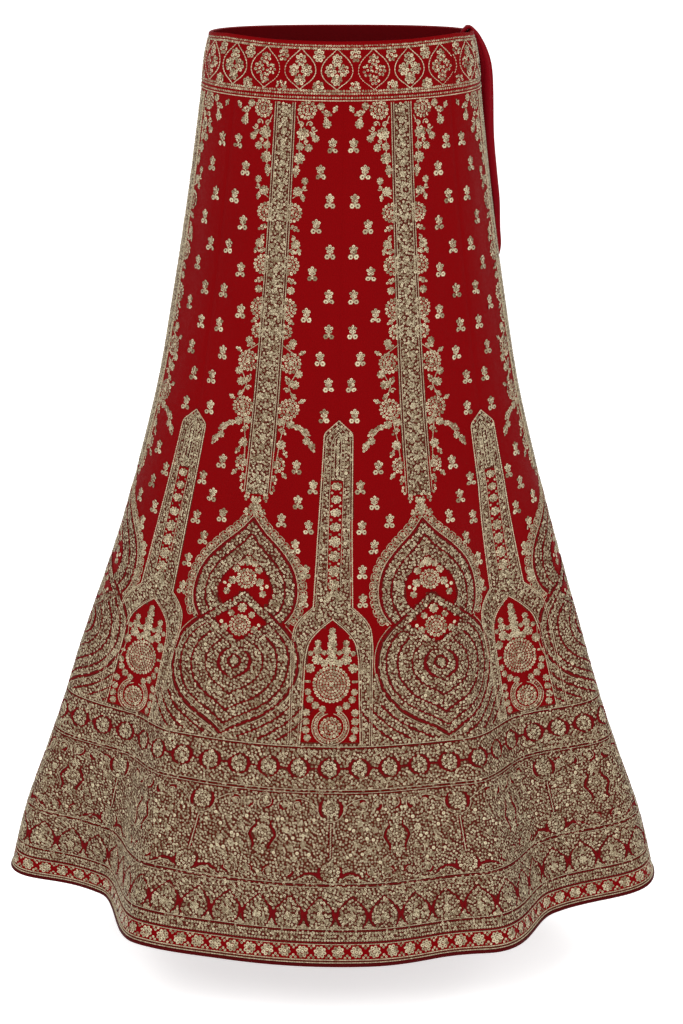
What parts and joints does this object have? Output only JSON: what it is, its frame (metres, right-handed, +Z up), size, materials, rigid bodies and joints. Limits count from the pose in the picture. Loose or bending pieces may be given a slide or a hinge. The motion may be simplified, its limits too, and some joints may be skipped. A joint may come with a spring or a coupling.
{
  "type": "lehenga skirt",
  "caption": "Long flared lehenga skirt of gored panels on a stiff waistband, with a bound hem and a soft side tie, hanging open as worn.",
  "frame": {"origin": "centre of the waist opening, level with the waistband's top edge at the back, which stands up to 9 mm higher towards the front corners", "axes": "+Z up along the hanging skirt, -Y towards its front, +X towards the side with the tie"},
  "size_m": [0.7779, 0.4866, 1.0428],
  "materials": {
    "embroidered_cloth": "deep red silk-blend cloth with dense antique gold thread and sequins",
    "band_cloth": "stiffened red cloth with gold embroidery",
    "binding": "plain dark red satin binding",
    "tie_cloth": "plain soft red cloth"
  },
  "bodies": {
    "root": {"kali_front_left": "embroidered_cloth", "kali_front_right": "embroidered_cloth", "kali_side_left": "embroidered_cloth", "kali_side_right": "embroidered_cloth", "kali_back_left": "embroidered_cloth", "kali_back_right": "embroidered_cloth", "waistband_front": "band_cloth", "waistband_back": "band_cloth", "hem_piping_front_left": "binding", "hem_piping_front_right": "binding", "hem_piping_side_left": "binding", "hem_piping_side_right": "binding", "hem_piping_back_left": "binding", "hem_piping_back_right": "binding", "waist_tie": "tie_cloth"}
  },
  "joints": []
}
